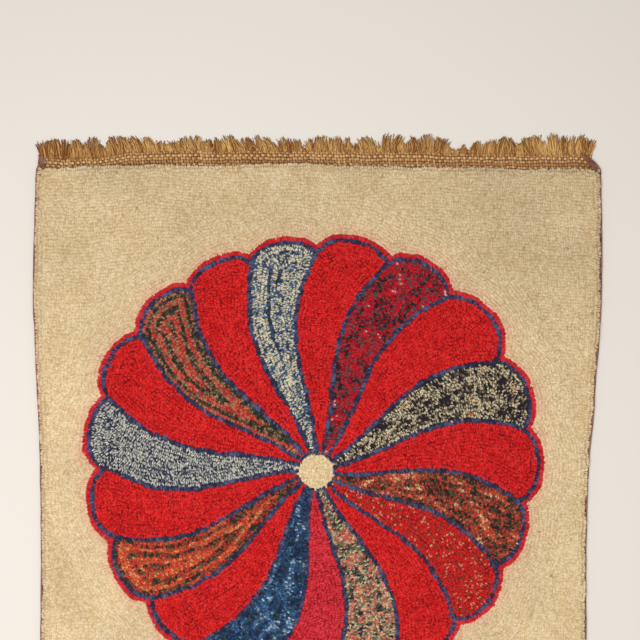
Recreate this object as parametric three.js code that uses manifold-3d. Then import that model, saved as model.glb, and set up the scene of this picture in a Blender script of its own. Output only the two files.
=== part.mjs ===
// A hooked rug lying flat: wool loops pulled through a hessian backing that is left bare and
// frayed at both ends, with a cloth tape folded over each long side.
// Millimetres, +Z up. The rug lies on z = 0, its length along Y, centred on the origin.

import * as THREE from "three";
import { mergeVertices } from "three/addons/utils/BufferGeometryUtils.js";
import Module from "manifold-3d";

const FIT_GAP = 0.3; // clearance between neighbouring pieces

// Hooked field
const FIELD_HALF_LENGTH = 326;
const CORNER = 12; // how far each rounded corner reaches along both edges
const CORNER_STEPS = 5;
const SPLINE_STEPS = 3; // outline points for each row of a table below

// The field's long sides, from the near end to the far end. It narrows towards the near end.
const SIDES = [
  { y: -314, left: -294.5, right: 286.5 },
  { y: -230, left: -295, right: 286 },
  { y: -130, left: -294, right: 285.5 },
  { y: -65, left: -294, right: 286 },
  { y: 12, left: -295, right: 289 },
  { y: 55, left: -296.5, right: 293.5 },
  { y: 98, left: -299, right: 296 },
  { y: 140, left: -300.5, right: 299.5 },
  { y: 185, left: -302.5, right: 302 },
  { y: 245, left: -301.5, right: 302.5 },
  { y: 314, left: -299.5, right: 301.5 },
];

// Unevenness of the last row of loops at an end, from the end's left corner to its right one
const END_WAVE = [
  { across: 0, rise: -2 },
  { across: 0.1, rise: 0 },
  { across: 0.2, rise: 1 },
  { across: 0.33, rise: 0.6 },
  { across: 0.46, rise: 3.5 },
  { across: 0.55, rise: 1 },
  { across: 0.65, rise: -1 },
  { across: 0.75, rise: -1.5 },
  { across: 0.85, rise: -3 },
  { across: 1, rise: -3.4 },
];

// Rise of the field's edge: a little undercut at the floor, upright, then rounded into the pile
const FIELD_LEVELS = [
  { inset: 0.8, z: 0 },
  { inset: 0, z: 1.6 },
  { inset: 0, z: 4.8 },
  { inset: 1, z: 7 },
  { inset: 3.2, z: 8 },
];

// Bare hessian at each end
const STRIP_DEPTH = 15;
const STRIP_LEVELS = [
  { inset: 0, z: 0 },
  { inset: 0, z: 1.4 },
];

// Fringe: locks of drawn threads, flat on the floor, three-sided and tapering
const LOCKS = 128;
const LOCK_ROOT = { width: 3, height: 1.2 };
const LOCK_TIP = { width: 1.1, height: 0.7 };
const LOCK_SIDES = 3;
const LOCK_SECTIONS = 3;
const LOCK_BEND = 1.5; // power by which a lock's lean grows from its root to its tip
const ROOT_DEPTH = 1.5; // how far a lock's root is sunk into the strip
const REACH_VARIATION = 0.14;

// The fringe's uneven reach and sideways lean, from the end's left corner to its right one
const FRAY = [
  { across: 0, reach: 11, lean: -0.35 },
  { across: 0.04, reach: 17, lean: -0.25 },
  { across: 0.09, reach: 13, lean: -0.12 },
  { across: 0.14, reach: 16, lean: -0.3 },
  { across: 0.23, reach: 15, lean: -0.3 },
  { across: 0.27, reach: 10, lean: -0.2 },
  { across: 0.36, reach: 14, lean: -0.15 },
  { across: 0.41, reach: 9, lean: -0.25 },
  { across: 0.5, reach: 15, lean: 0 },
  { across: 0.55, reach: 10, lean: 0.05 },
  { across: 0.62, reach: 17, lean: 0.05 },
  { across: 0.69, reach: 10, lean: 0.1 },
  { across: 0.74, reach: 7, lean: 0.28 },
  { across: 0.83, reach: 10, lean: -0.2 },
  { across: 0.92, reach: 16, lean: -0.3 },
  { across: 0.97, reach: 16, lean: -0.1 },
  { across: 1, reach: 9, lean: 0.2 },
];

// Tape bound over each long side, with a folded end lying flat at each corner
const TAPE_WIDTH = 2.2;
const TAPE_END_WIDTH = CORNER - FIT_GAP;
const TAPE_END_LENGTH = 14;
const TAPE_LEVELS = [
  { inset: 0.3, z: 0 },
  { inset: 0, z: 0.8 },
  { inset: 0, z: 2.4 },
  { inset: 0.6, z: 3.2 },
];

const WOOL = new THREE.MeshStandardMaterial({ color: 0xd6bc92, roughness: 0.95, metalness: 0 });
const HESSIAN = new THREE.MeshStandardMaterial({ color: 0xa98253, roughness: 0.95, metalness: 0 });
const TAPE = new THREE.MeshStandardMaterial({ color: 0x6b4348, roughness: 0.9, metalness: 0 });

const vec = (x, y) => new THREE.Vector2(x, y);
const turned = (point) => vec(-point.x, -point.y);
const smooth = (points) => new THREE.SplineCurve(points).getPoints(points.length * SPLINE_STEPS);

// A repeatable number from -1 to 1 for each lock: the golden angle never repeats its phase
const GOLDEN_ANGLE = Math.PI * (3 - Math.sqrt(5));
const unevenness = (index) => Math.sin(index * index * GOLDEN_ANGLE);

// A table's column at a place across the end, straight between its rows
function readAcross(table, column, across) {
  const next = Math.max(1, table.findIndex((row) => row.across >= across));
  const from = table[next - 1];
  const to = table[next];
  const share = (across - from.across) / (to.across - from.across);
  return THREE.MathUtils.lerp(from[column], to[column], share);
}

// The last row of loops at an end that faces +Y, between its two corners, from left to right
function endEdge(corners) {
  const points = END_WAVE.map(({ across, rise }) => {
    const x = THREE.MathUtils.lerp(corners.left + CORNER, corners.right - CORNER, across);
    return vec(x, FIELD_HALF_LENGTH + rise);
  });
  return smooth(points);
}

// A closed solid over a plan outline, which runs counter-clockwise: each level is a ring of the
// outline's points moved inwards and lifted, with walls between the rings and flat caps.
function stackedSolid(outline, levels) {
  const count = outline.length;
  const positions = [];
  const triangles = [];
  const inward = outline.map((_, i) => {
    const before = outline[(i + count - 1) % count];
    const after = outline[(i + 1) % count];
    return vec(before.y - after.y, after.x - before.x).normalize();
  });
  for (const { inset, z } of levels) {
    outline.forEach((point, i) => {
      const moved = point.clone().addScaledVector(inward[i], inset);
      positions.push(moved.x, moved.y, z);
    });
  }
  for (let ring = 0; ring < levels.length - 1; ring += 1) {
    for (let i = 0; i < count; i += 1) {
      const here = ring * count + i;
      const beside = ring * count + ((i + 1) % count);
      triangles.push(here, beside, beside + count);
      triangles.push(here, beside + count, here + count);
    }
  }
  const top = (levels.length - 1) * count;
  for (const [a, b, c] of THREE.ShapeUtils.triangulateShape(outline, [])) {
    triangles.push(c, b, a);
    triangles.push(top + a, top + b, top + c);
  }
  return geometryFrom(positions, triangles);
}

function geometryFrom(positions, triangles) {
  const geometry = new THREE.BufferGeometry();
  geometry.setAttribute("position", new THREE.Float32BufferAttribute(positions, 3));
  geometry.setIndex(Array.from(triangles));
  return geometry;
}

// The field's outline: two long sides and two wavy ends, with rounded corners between them
function fieldOutline(farCorners, nearCorners) {
  const rightSide = smooth(SIDES.map((row) => vec(row.right, row.y)));
  const farEnd = endEdge(farCorners).reverse();
  const leftSide = smooth(SIDES.map((row) => vec(row.left, row.y))).reverse();
  const nearEnd = endEdge(nearCorners).map(turned).reverse();
  const roundCorner = (from, to, corner) => {
    const points = new THREE.QuadraticBezierCurve(from, corner, to).getPoints(CORNER_STEPS);
    return points.slice(1, -1);
  };
  const sideToEnd = (side, end) => {
    const from = side.at(-1);
    return roundCorner(from, end[0], vec(from.x, end[0].y));
  };
  const endToSide = (end, side) => {
    const from = end.at(-1);
    return roundCorner(from, side[0], vec(side[0].x, from.y));
  };
  return [
    ...rightSide,
    ...sideToEnd(rightSide, farEnd),
    ...farEnd,
    ...endToSide(farEnd, leftSide),
    ...leftSide,
    ...sideToEnd(leftSide, nearEnd),
    ...nearEnd,
    ...endToSide(nearEnd, rightSide),
  ];
}

// One lock of the fringe: a three-sided strand carried from its root in the strip to its tip,
// lying on the floor, bending further sideways the further out it gets.
function fringeLock(root, reach, lean) {
  const length = reach + ROOT_DEPTH;
  const positions = [];
  const triangles = [];
  for (let i = 0; i < LOCK_SECTIONS; i += 1) {
    const along = i / (LOCK_SECTIONS - 1);
    const x = root.x + lean * length * along ** LOCK_BEND;
    const y = root.y - ROOT_DEPTH + length * along;
    const halfWidth = THREE.MathUtils.lerp(LOCK_ROOT.width, LOCK_TIP.width, along) / 2;
    const height = THREE.MathUtils.lerp(LOCK_ROOT.height, LOCK_TIP.height, along);
    positions.push(x - halfWidth, y, 0, x + halfWidth, y, 0, x, y, height);
  }
  for (let i = 0; i < LOCK_SECTIONS - 1; i += 1) {
    for (let side = 0; side < LOCK_SIDES; side += 1) {
      const here = i * LOCK_SIDES + side;
      const beside = i * LOCK_SIDES + ((side + 1) % LOCK_SIDES);
      triangles.push(here, beside + LOCK_SIDES, beside);
      triangles.push(here, here + LOCK_SIDES, beside + LOCK_SIDES);
    }
  }
  const tip = (LOCK_SECTIONS - 1) * LOCK_SIDES;
  triangles.push(0, 1, 2);
  triangles.push(tip, tip + 2, tip + 1);
  return geometryFrom(positions, triangles);
}

const wasm = await Module();
wasm.setup();

function toManifold(geometry) {
  const merged = mergeVertices(geometry);
  return new wasm.Manifold(
    new wasm.Mesh({
      numProp: 3,
      vertProperties: merged.getAttribute("position").array,
      triVerts: Uint32Array.from(merged.getIndex().array),
    }),
  );
}

// A bare strip of hessian along an end that faces +Y, with its fringe fused to the free edge
function frayedEnd(corners) {
  const clear = vec(0, FIT_GAP);
  const loopEdge = endEdge(corners).map((point) => point.clone().add(clear));
  const left = loopEdge[0].x;
  const right = loopEdge.at(-1).x;
  const frayLine = FIELD_HALF_LENGTH + STRIP_DEPTH;
  const outline = [...loopEdge, vec(right, frayLine), vec(left, frayLine)];
  let solid = toManifold(stackedSolid(outline, STRIP_LEVELS));
  for (let i = 0; i < LOCKS; i += 1) {
    const across = (i + 0.5) / LOCKS;
    const root = vec(THREE.MathUtils.lerp(left, right, across), frayLine);
    const reach = readAcross(FRAY, "reach", across) * (1 + REACH_VARIATION * unevenness(i));
    const lean = readAcross(FRAY, "lean", across);
    solid = solid.add(toManifold(fringeLock(root, reach, lean)));
  }
  const joined = solid.getMesh();
  return geometryFrom(joined.vertProperties, joined.triVerts);
}

// The tape along a left side: it follows the loops' edge from the far end to the near end and
// turns in at both corners, where its folded end lies beside the bare hessian.
function tapeBinding(side, farY, nearY) {
  const inner = side.map((point) => vec(point.x - FIT_GAP, point.y));
  const outer = inner.map((point) => vec(point.x - TAPE_WIDTH, point.y));
  const cornerEnd = (edge, endY, direction) => {
    const start = endY + direction * FIT_GAP;
    const finish = start + direction * TAPE_END_LENGTH;
    const inX = edge.x + FIT_GAP + TAPE_END_WIDTH;
    return {
      outside: [vec(edge.x - TAPE_WIDTH, finish)],
      inside: [vec(inX, finish), vec(inX, start), vec(edge.x, start)],
    };
  };
  const far = cornerEnd(inner[0], farY, 1);
  const near = cornerEnd(inner.at(-1), nearY, -1);
  const outline = [
    ...far.outside,
    ...outer,
    ...near.outside,
    ...near.inside,
    ...inner.toReversed(),
    ...far.inside.toReversed(),
  ];
  return stackedSolid(outline, TAPE_LEVELS);
}

function addPiece(group, name, geometry, material, turn = 0) {
  const mesh = new THREE.Mesh(geometry, material);
  mesh.name = name;
  mesh.rotation.z = turn;
  group.add(mesh);
}

const farRow = SIDES.at(-1);
const nearRow = SIDES[0];
const farCorners = { left: farRow.left, right: farRow.right };
const nearCorners = { left: -nearRow.right, right: -nearRow.left };
const leftSide = smooth(SIDES.map((row) => vec(row.left, row.y))).reverse();
const rightSide = smooth(SIDES.map((row) => vec(row.right, row.y))).map(turned);
const leftCornerY = FIELD_HALF_LENGTH + END_WAVE[0].rise;
const rightCornerY = FIELD_HALF_LENGTH + END_WAVE.at(-1).rise;

const rug = new THREE.Group();
addPiece(rug, "hooked_field", stackedSolid(fieldOutline(farCorners, nearCorners), FIELD_LEVELS), WOOL);
addPiece(rug, "frayed_end_far", frayedEnd(farCorners), HESSIAN);
addPiece(rug, "frayed_end_near", frayedEnd(nearCorners), HESSIAN, Math.PI);
addPiece(rug, "binding_left", tapeBinding(leftSide, leftCornerY, -rightCornerY), TAPE);
addPiece(rug, "binding_right", tapeBinding(rightSide, leftCornerY, -rightCornerY), TAPE, Math.PI);

export default rug;
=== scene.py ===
"""A hooked rug: wool loops by the row on a hessian backing, with frayed ends and bound sides.

Shapes are worked out in millimetres in the part's frame (the rug lies on z = 0, +Y to its far end)
and written into the meshes in metres.
"""

import bpy
import numpy as np
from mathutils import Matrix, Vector


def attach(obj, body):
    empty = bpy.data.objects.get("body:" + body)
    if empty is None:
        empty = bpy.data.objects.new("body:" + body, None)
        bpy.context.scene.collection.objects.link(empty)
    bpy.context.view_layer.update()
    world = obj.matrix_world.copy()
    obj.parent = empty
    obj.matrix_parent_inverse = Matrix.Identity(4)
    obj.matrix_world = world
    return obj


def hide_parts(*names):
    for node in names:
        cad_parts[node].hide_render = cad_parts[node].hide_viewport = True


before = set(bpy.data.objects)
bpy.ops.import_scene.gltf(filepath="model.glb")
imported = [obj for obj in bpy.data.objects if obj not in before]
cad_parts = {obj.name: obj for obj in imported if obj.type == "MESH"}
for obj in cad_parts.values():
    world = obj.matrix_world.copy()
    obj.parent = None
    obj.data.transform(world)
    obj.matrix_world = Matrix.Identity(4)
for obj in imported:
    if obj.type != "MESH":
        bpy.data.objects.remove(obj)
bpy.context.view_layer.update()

MM = 0.001
BODY = "root"
rng = np.random.default_rng(19)

# Camera, straight above the rug and framed as the photograph
PHOTO_WIDTH = 640
MM_PER_PIXEL = 1.066
ORIGIN_PIXEL = np.array([317.4, 471.5])
LENS = 65.0
SENSOR = 36.0

# Studio, in metres and watts: each light's place, size and power, what they aim at, the sky and the floor
LIGHTS = {"key": ((-0.36, -0.2, 1.45), 0.9, 19.8), "fill": ((0.9, 0.1, 1.6), 1.6, 4.0)}
LIGHT_AIM = np.array([0.0, 0.1, 0.0])
SKY_COLOUR = (1.0, 0.98, 0.95, 1)
SKY_STRENGTH = 0.48
FLOOR_HALF = 30.0
FLOOR_COLOUR = (214, 208, 200)

# Hooking: the rows, the pile's heights and one loop's size
ROW = 3.3
STEP = 2.15
BACKING_TOP = 1.3
PILE_TOP = 8.0
PILE_JITTER = 0.3
LOOP_HALF_LENGTH = 1.85
LOOP_HALF_WIDTH = 1.22
LOOP_RISE = 1.7
BED_HEIGHT = 6.1
BED_INSET = 1.4
OUTLINE_HEIGHT = 4.8
EDGE_BAND = 40.0
EDGE_MARGIN = 2.4 * ROW
ROW_SLACK = 0.12
LEAST_APART = 1.3
MOST_APART = 2.0
FILL_PITCH = 1.4
BIN = 4.0
BIN_ROOM = 10
BLOCK = 2000

# A hand's unevenness: how far loops stray off their rows and over what length, how far they turn, and how
# their size, lean and place vary by chance. The pile swells gently and droops at the field's edge
WANDER = ((1.0, 11.0), (0.85, 4.6))
TURN_WANDER = 0.55
TURN_LENGTH = 8.0
SIZE_CHANCE = 0.14
LEAN_CHANCE = 0.36
PLACE_CHANCE = 0.28
SWELL = 0.35
SWELL_LENGTH = 26
DROOP = 1.2
DROOP_REACH = 4.2

# One loop, seen from above as a small bar across its row: how far across and along the row each corner
# lies, and whether it is on the ridge. Loops at the field's edge also get feet that reach the backing
LOOP_SHAPE = np.array([
    (-1.0, -1.0, 0), (1.0, -1.0, 0), (1.0, 1.0, 0), (-1.0, 1.0, 0), (-0.55, 0.0, 1), (0.55, 0.0, 1),
])
LOOP_SIDES = np.array([(0, 1, 5, 4), (2, 3, 4, 5)])
LOOP_ENDS = np.array([(1, 2, 5), (3, 0, 4)])
LOOP_WALLS = np.array([(6, 7, 1, 0), (7, 8, 2, 1), (8, 9, 3, 2), (9, 6, 0, 3)])

# Rosette: a round middle and curved petals that end in round lobes
ROSETTE = np.array([-1.2, 0.0])
MIDDLE_RADIUS = 18.2
LOBE_ROUNDNESS = 0.6
SEAM_BOW = np.radians(9.0)
FIRST_SEAM = np.radians(-89.2)
NAVY_ROOM = 0.25
EDGE_OFFSET = 1.25
ECHO_ROOM = 0.4
ECHO_ROWS = 13
PETAL_ROWS = 14
LANES_PER_LINE = 20

# How many rows further off than its own line a petal's loop has to be from each line: for rows along the
# left seam, the right seam and the lobe
HEAD_START = [[-0.15, -0.5, 0.0], [0.5, -0.15, 0.0], [0.3, 0.3, -0.15]]

# Petals clockwise from the left: the yarn, the degrees of the rim it takes, how far out it reaches and
# how deep the notch on its left is
PETALS = [
    ("heather", 18.7, 246.8, 21.0),
    ("red", 18.0, 251.0, 14.5),
    ("moss", 17.7, 250.5, 18.0),
    ("red", 17.6, 247.8, 16.5),
    ("delft", 17.2, 246.8, 16.5),
    ("red", 18.8, 249.5, 17.5),
    ("crimson", 18.2, 249.5, 16.5),
    ("red", 21.2, 248.5, 17.5),
    ("pepper", 20.0, 241.0, 24.0),
    ("red", 20.0, 237.5, 14.5),
    ("rust", 19.4, 230.0, 18.5),
    ("flecked", 19.2, 230.0, 17.0),
    ("red", 19.2, 229.0, 17.0),
    ("chintz", 19.2, 228.5, 17.0),
    ("rose", 19.2, 229.0, 17.0),
    ("indigo", 19.0, 230.5, 17.0),
    ("red", 19.0, 233.5, 17.0),
    ("russet", 19.2, 237.5, 17.0),
    ("red", 19.2, 242.0, 17.0),
]

# Yarns: how long and how many rows wide a patch of one colour runs, how much patches count against
# chance, and the colours from one end of the mix to the other with their shares. Some have bands that
# follow the petal's outline and waver, clumps of a size and weight, pulled rows (stripes), a colour of their
# own for the painted shade in the creases between loops and how strongly it is painted there, or fibres of
# many tones (tweed)
YARNS = {
    "cream": dict(run=26, lanes=7, patchy=0.25, shade_colour=(190, 163, 119), crease_shade=0.35, mix=[
        (0.12, (202, 176, 133)), (0.33, (214, 191, 150)), (0.38, (222, 201, 163)),
        (0.17, (230, 213, 179))]),
    "red": dict(run=14, lanes=4, patchy=0.25, shade_colour=(112, 8, 12), crease_shade=0.55, mix=[
        (0.25, (187, 17, 18)), (0.5, (212, 27, 28)), (0.25, (226, 48, 44))]),
    "edge": dict(run=8, lanes=1, patchy=0.3, length=1.3, unruly=0.4, mix=[
        (0.3, (176, 20, 30)), (0.45, (200, 30, 40)), (0.25, (212, 52, 60))]),
    "navy": dict(run=7, lanes=1, patchy=0.4, length=1.08, unruly=0.25, tilt=0.4, tweed=0.3, mix=[
        (0.36, (36, 38, 62)), (0.4, (56, 61, 92)), (0.24, (84, 91, 124))]),
    # Heather's crease colour is partly the yarn's own dark navy and partly painted shade
    "heather": dict(run=9, lanes=2, patchy=0.1, tweed=0.25, shade_colour=(26, 30, 48), crease_shade=0.9, mix=[
        (0.2, (62, 68, 90)), (0.2, (130, 132, 136)), (0.38, (188, 185, 172)), (0.22, (222, 217, 200))]),
    "moss": dict(run=50, lanes=3, bands=3.7, patchy=0.5, tweed=0.9, mix=[
        (0.3, (44, 40, 34)), (0.16, (76, 78, 56)), (0.12, (136, 124, 90)), (0.1, (190, 120, 88)),
        (0.18, (194, 78, 62)), (0.14, (180, 42, 40))]),
    "delft": dict(run=40, lanes=0.9, clumps=(7, 0.5), patchy=0.36, tweed=0.7, shade_colour=(58, 66, 80), crease_shade=0.7,
                  stripes={3.25: 0.1, 4.25: 0.12, 6.25: -0.34, 7.25: 0.12, 9.25: -0.5, 24.25: 0.12,
                           28.25: -0.5, 42.25: 0.12, 43.25: -0.2, 47.25: 0.12, 49.25: -0.5}, mix=[
        (0.12, (28, 34, 44)), (0.23, (50, 82, 124)), (0.14, (134, 148, 152)), (0.31, (210, 198, 164)),
        (0.2, (230, 216, 184))]),
    "crimson": dict(run=7, lanes=1.6, clumps=(8, 0.5), patchy=0.46, tweed=0.9, mix=[
        (0.19, (40, 26, 30)), (0.2, (86, 74, 72)), (0.3, (150, 16, 36)), (0.3, (194, 22, 38)),
        (0.01, (222, 170, 164))]),
    "pepper": dict(run=6, lanes=1.7, clumps=(7, 0.5), patchy=0.46, tweed=0.9, shade_colour=(30, 24, 32),
                   crease_shade=0.7, mix=[
        (0.36, (36, 30, 38)), (0.17, (104, 90, 74)), (0.17, (176, 158, 120)), (0.285, (218, 204, 168)),
        (0.015, (206, 124, 80))]),
    "rust": dict(run=26, lanes=3, bands=3.3, waver=6.0, clumps=(12, 0.4), patchy=0.45, tweed=0.9, mix=[
        (0.29, (40, 36, 30)), (0.16, (88, 80, 58)), (0.16, (140, 60, 44)), (0.23, (186, 58, 42)),
        (0.12, (206, 100, 66)), (0.04, (216, 174, 128))]),
    "flecked": dict(run=4, lanes=1, patchy=0.3, tweed=0.6, shade_colour=(112, 8, 12), mix=[
        (0.06, (78, 74, 48)), (0.38, (186, 28, 26)), (0.48, (206, 38, 34)), (0.08, (206, 140, 104))]),
    "chintz": dict(run=9, lanes=1.7, clumps=(9, 0.3), patchy=0.5, tweed=0.9, mix=[
        (0.23, (44, 38, 46)), (0.26, (102, 104, 84)), (0.19, (198, 186, 142)), (0.21, (214, 130, 108)),
        (0.11, (190, 84, 72))]),
    "rose": dict(run=20, lanes=4, patchy=0.25, shade_colour=(120, 14, 24), crease_shade=0.65, mix=[
        (0.25, (190, 28, 40)), (0.5, (212, 44, 56)), (0.25, (222, 64, 72))]),
    "indigo": dict(run=14, lanes=1.6, patchy=0.45, tweed=0.8, mix=[
        (0.32, (28, 38, 60)), (0.3, (38, 68, 110)), (0.16, (48, 80, 86)), (0.16, (74, 114, 156)),
        (0.06, (160, 180, 194))]),
    "russet": dict(run=26, lanes=3, bands=3.5, waver=4.0, patchy=0.45, tweed=0.9, mix=[
        (0.26, (48, 42, 36)), (0.14, (104, 88, 56)), (0.36, (190, 56, 42)), (0.19, (206, 94, 54)),
        (0.05, (218, 148, 92))]),
}
YARN_NAMES = list(YARNS)
CLUMP_GAIN = 1.8
USUAL_WAVER = 2.5
# For yarns without a shade colour of their own, how dark their painted crease shade is, and how strongly
# painted shade is laid on a loop's lower points
DEEP_SHADE = 0.55
CREASE_SHADE = 0.55

# Age and painted shade on the cream: red bled out of the rosette, stains at the hems, blotches, painted
# shade towards the far end and its right, and specks
HALO_PINK = (226, 150, 132)
HALO_REACH = 7.0
HALO_STRENGTH = 0.5
HEM_STAIN = (176, 118, 104)
HEM_STRENGTH = 0.55
HEM_REACH = 5.0
HEM_FADE = 4.0
BLOTCH = 45
# Painted shade on the cream: where it starts darkening towards the far end and over what length
FAR_SHADE_START = 60
FAR_SHADE_LENGTH = 280
SPECK_SHARE = 0.0015
SPECK_SHADE = 0.65

LOOP = np.dtype([("x", float), ("y", float), ("turn", float), ("lane", float), ("run", float),
                 ("yarn", int)])

# Hessian
WARP_PITCH = 3.0
WEFT_PITCH = 3.3
WARP_HALF_WIDTH = 1.36
WEFT_HALF_WIDTH = 1.5
THREAD_HALF_HEIGHT = 0.55
BULGE = 0.16
CRIMP = 0.48
WEAVE_HEIGHT = 1.06
# Painted shade on the hessian threads: full below this height and gone this far above it
DIP_SHADE_HEIGHT = 1.15
DIP_SHADE_RANGE = 0.75
SLANT = 0.14
WEFTS = 7
WARP_STATIONS = 19
CORNER = 12.0
CORNER_PULL = np.array([0.014, 0.012])
CORNER_SHARPNESS = 40
STRIP_INSET = 0.6 * CORNER
UNDER_PILE = 5.0
BACKING_INSET = 1.2
STRAW = [(160, 104, 52), (240, 194, 134)]
# The dark brown painted as shade where threads dip under and on the fringe's roots and low strands
STRAW_SHADE = (78, 44, 17)

# Fringe
FRAY_LINE = 341.0
FRINGE_STRAW = [(154, 90, 30), (242, 194, 118)]
STRANDS_PER_ROOT = 6
STRAND_STATIONS = 6
TUFT = 15.0
GATHER = 0.42

# The fringe across an end, from its left corner to its right one: its reach past the fray line, its
# sideways lean, its paleness, and how far the line where the cross threads stop lies past the usual one
FRAY = np.array([
    (0.0, 12.0, -0.25, -0.1, -4.0), (0.04, 15.5, -0.2, -0.15, -5.0), (0.1, 14.0, -0.15, -0.05, -4.0),
    (0.15, 15.5, -0.3, 0.05, 2.0), (0.23, 13.0, -0.3, 0.0, 4.0), (0.3, 15.5, -0.25, -0.05, 3.5),
    (0.38, 15.0, -0.2, -0.05, 3.5), (0.45, 15.0, -0.25, 0.0, 3.0), (0.5, 15.0, 0.0, 0.0, 3.5),
    (0.55, 15.0, 0.05, 0.05, 3.0), (0.59, 17.5, -0.1, 0.25, 2.5), (0.64, 17.0, 0.05, 0.1, 2.5),
    (0.66, 13.5, 0.1, 0.0, 2.0), (0.69, 16.5, 0.1, 0.0, 2.0), (0.74, 15.0, 0.15, 0.0, 1.0),
    (0.78, 11.0, 0.1, 0.0, 0.5), (0.82, 14.5, 0.15, -0.05, 0.5), (0.88, 14.0, -0.25, 0.2, 0.0),
    (0.93, 16.5, -0.3, 0.35, 0.0), (0.97, 16.0, -0.1, 0.25, 0.0), (1.0, 14.0, 0.1, 0.05, -1.0),
], dtype=[("across", float), ("reach", float), ("lean", float), ("pale", float), ("line", float)])

# Gaps in the fringe: where they lie across an end, and how much shorter it is there
GAPS = np.array([
    (0.045, 10.0), (0.077, 6.0), (0.108, 7.0), (0.235, 5.0), (0.475, 12.0), (0.565, 8.0), (0.61, 11.0),
    (0.741, 10.0), (0.754, 10.0), (0.77, 7.0), (0.865, 7.0),
], dtype=[("across", float), ("depth", float)])
GAP_WIDTH = 0.0075

# Tape
TAPE_HALF_WIDTH = 1.1
TAPE_HEIGHT = 3.2
TAPE_PAST_END = 6.0
TAPE_GAP = 0.3
TAPE_THICKNESS = 0.7
TAPE_END_STEPS = (22, 26)
STITCH_PITCH = 7.0
STITCH_RADIUS = 0.28


def linear(colour):
    """Colours written as 0 to 255 screen values, turned to linear light by the screen's power curve."""
    c = np.asarray(colour, float) / 255
    return np.where(c <= 0.04045, c / 12.92, ((c + 0.055) / 1.055) ** 2.4)


def lattice(i, j, seed):
    """A repeatable number from 0 to 1 for each whole-number place: the fraction of a large sine."""
    value = np.sin(i * 127.1 + j * 311.7 + seed * 74.7) * 43758.5453
    return value - np.floor(value)


def soft_noise(u, v, seed):
    """Smooth noise from 0 to 1: four lattice numbers blended by the eased fractions of u and v."""
    i, j = np.floor(u), np.floor(v)
    a, b = u - i, v - j
    a, b = a * a * (3 - 2 * a), b * b * (3 - 2 * b)
    low = lattice(i, j, seed) * (1 - a) + lattice(i + 1, j, seed) * a
    high = lattice(i, j + 1, seed) * (1 - a) + lattice(i + 1, j + 1, seed) * a
    return low * (1 - b) + high * b


def place_object(name, data):
    """A new object in the scene that shows a mesh, a light or a camera."""
    item = bpy.data.objects.new(name, data)
    bpy.context.scene.collection.objects.link(item)
    return item


def add_mesh(name, points, polygons, material):
    """A smooth piece from arrays, which rides on the rug's body: points in millimetres, and groups of
    polygons with equal corners, strung together as corner numbers and totals."""
    mesh = bpy.data.meshes.new(name)
    points = np.asarray(points, float).reshape(-1, 3)
    groups = [np.asarray(group, np.int32) for group in polygons]
    corners = np.concatenate([group.ravel() for group in groups])
    totals = np.concatenate([np.full(len(group), group.shape[1], np.int32) for group in groups])
    mesh.vertices.add(len(points))
    mesh.vertices.foreach_set("co", (points * MM).ravel())
    mesh.loops.add(len(corners))
    mesh.loops.foreach_set("vertex_index", corners)
    mesh.polygons.add(len(totals))
    starts = np.concatenate([[0], np.cumsum(totals)[:-1]]).astype(np.int32)
    mesh.polygons.foreach_set("loop_start", starts)
    mesh.polygons.foreach_set("loop_total", totals)
    mesh.polygons.foreach_set("use_smooth", np.ones(len(totals), bool))
    mesh.update(calc_edges=True)
    mesh.materials.append(material)
    piece = place_object(name, mesh)
    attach(piece, BODY)
    return piece


def add_plan_map(piece):
    """A map for baking on a flat piece: the plan view, scaled to fill the square with a small margin."""
    mesh = piece.data
    points = np.empty(len(mesh.vertices) * 3)
    mesh.vertices.foreach_get("co", points)
    plan = points.reshape(-1, 3)[:, :2]
    low, high = plan.min(0), plan.max(0)
    plan = 0.01 + 0.98 * (plan - low) / (high - low)
    corners = np.empty(len(mesh.loops), np.int32)
    mesh.loops.foreach_get("vertex_index", corners)
    layer = mesh.uv_layers.new(name="OFBake")
    layer.uv.foreach_set("vector", plan[corners].ravel())


def add_colour(piece, name, colours, alpha=1.0):
    """A colour for each point, in linear light, with a fourth value for the material to use."""
    layer = piece.data.attributes.new(name, "FLOAT_COLOR", "POINT")
    fourth = np.broadcast_to(np.asarray(alpha, float), len(colours))[:, None]
    layer.data.foreach_set("color", np.concatenate([colours, fourth], 1).ravel())


def add_vector(piece, name, vectors):
    """A vector for each point, for a pattern that follows the yarn."""
    layer = piece.data.attributes.new(name, "FLOAT_VECTOR", "POINT")
    layer.data.foreach_set("vector", np.asarray(vectors, float).ravel())


def field_outline():
    """The hooked field's outline from the frame: its widest ring of points, in order of angle,
    spaced evenly by arc length, counter-clockwise."""
    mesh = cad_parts["hooked_field"].data
    points = np.empty(len(mesh.vertices) * 3)
    mesh.vertices.foreach_get("co", points)
    points = points.reshape(-1, 3) / MM
    ring = np.unique(np.round(points[np.abs(points[:, 2] - OUTLINE_HEIGHT) < 0.1, :2], 2), axis=0)
    ring = ring[np.argsort(np.arctan2(ring[:, 1], ring[:, 0]))]
    ring = np.concatenate([ring, ring[:1]])
    arc = np.concatenate([[0], np.cumsum(np.linalg.norm(np.diff(ring, axis=0), axis=1))])
    even = np.arange(0, arc[-1], 1.0)
    return np.stack([np.interp(even, arc, ring[:, 0]), np.interp(even, arc, ring[:, 1])], 1)


OUTLINE = field_outline()


def edge_at(values, axis, side):
    """The outline's coordinate along one axis, read across the other: the left edge's x at some y,
    the far edge's y at some x, and so on. side is -1 for left and near, 1 for right and far."""
    across = 1 - axis
    limit = np.abs(OUTLINE[:, across]).max() - CORNER
    edge = OUTLINE[(OUTLINE[:, axis] * side > 0) & (np.abs(OUTLINE[:, across]) <= limit)]
    edge = edge[np.abs(edge[:, axis]) > np.abs(OUTLINE[:, axis]).max() - EDGE_BAND]
    edge = edge[np.argsort(edge[:, across])]
    return np.interp(values, edge[:, across], edge[:, axis])


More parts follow.
